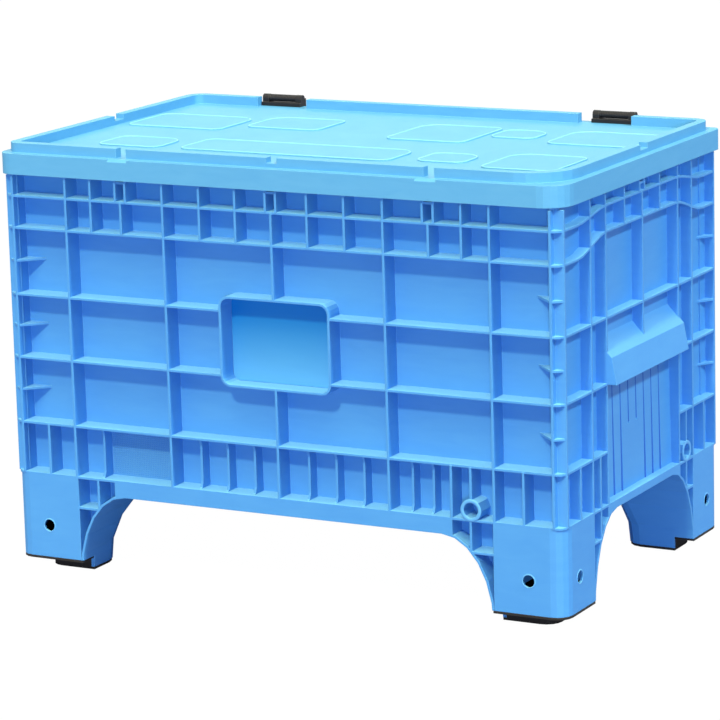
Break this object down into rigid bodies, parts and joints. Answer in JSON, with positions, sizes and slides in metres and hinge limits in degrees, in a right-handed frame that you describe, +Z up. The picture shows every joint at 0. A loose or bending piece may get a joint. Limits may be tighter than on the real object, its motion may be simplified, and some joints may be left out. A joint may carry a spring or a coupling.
{
  "type": "plastic pallet box with hinged lid",
  "caption": "Large moulded plastic pallet box on four legs, with a ribbed wall grid, hand grips at both ends, fork ways below and a lid hinged along the rear long side.",
  "frame": {"origin": "middle of the ground area that the closed box takes up, on the ground", "axes": "+X along the long side to the right-hand end, -Y out of the front long side, +Z up"},
  "size_m": [1.074, 0.6688, 0.7457],
  "materials": {
    "body_blue": "satin moulded",
    "lid_blue": "satin moulded",
    "shoe_black": "matt",
    "hinge_black": "matt moulded",
    "pin_steel": "plain"
  },
  "bodies": {
    "box": {"box_body": "body_blue", "foot_shoe_front_left": "shoe_black", "foot_shoe_front_right": "shoe_black", "foot_shoe_rear_left": "shoe_black", "foot_shoe_rear_right": "shoe_black", "hinge_bracket_left": "hinge_black", "hinge_bracket_right": "hinge_black", "hinge_pin_left": "pin_steel", "hinge_pin_right": "pin_steel"},
    "lid": {"lid": "lid_blue", "hinge_clip_left": "hinge_black", "hinge_clip_right": "hinge_black"}
  },
  "joints": [
    {"name": "lid_hinge", "type": "hinge", "parent": "box", "child": "lid", "pos_m": [0, 0.3264, 0.686], "axis": [-1, 0, 0], "range_deg": [0, 190]}
  ]
}
